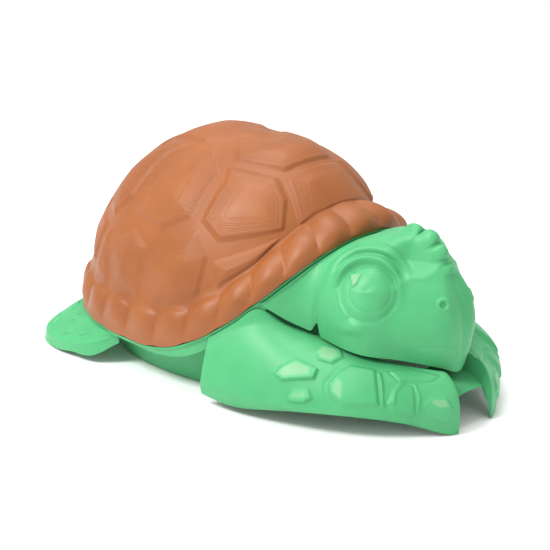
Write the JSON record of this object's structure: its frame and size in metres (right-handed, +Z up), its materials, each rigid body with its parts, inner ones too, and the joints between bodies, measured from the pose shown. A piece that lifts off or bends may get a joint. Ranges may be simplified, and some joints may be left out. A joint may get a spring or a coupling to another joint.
{
  "type": "sandbox with cover",
  "caption": "Children's sandbox shaped like a sea turtle: green tub with head and flippers under a brown domed lift-off shell cover.",
  "frame": {"origin": "centre of the bounding box on the ground", "axes": "+Z up, the turtle's head looks along -Y, +X is the turtle's left side"},
  "size_m": [0.8052, 1.2101, 0.571],
  "materials": {
    "green_plastic": "satin moulded",
    "brown_plastic": "satin moulded, fine texture",
    "screw_steel": "zinc plated"
  },
  "bodies": {
    "base": {"tub": "green_plastic", "front_apron": "green_plastic", "head": "green_plastic", "rear_flipper_left": "green_plastic", "rear_flipper_right": "green_plastic", "screw_apron_front_left": "screw_steel", "screw_apron_front_right": "screw_steel", "screw_apron_rear_left": "screw_steel", "screw_apron_rear_right": "screw_steel", "screw_head_lower_left": "screw_steel", "screw_head_lower_right": "screw_steel", "screw_head_upper_left": "screw_steel", "screw_head_upper_right": "screw_steel", "screw_rear_flipper_front_left": "screw_steel", "screw_rear_flipper_front_right": "screw_steel", "screw_rear_flipper_back_left": "screw_steel", "screw_rear_flipper_back_right": "screw_steel"},
    "cover": {"cover": "brown_plastic"}
  },
  "joints": [
    {"name": "cover_lift", "type": "slide", "parent": "base", "child": "cover", "axis": [0, 0, 1], "range_m": [0, 0.45]}
  ]
}
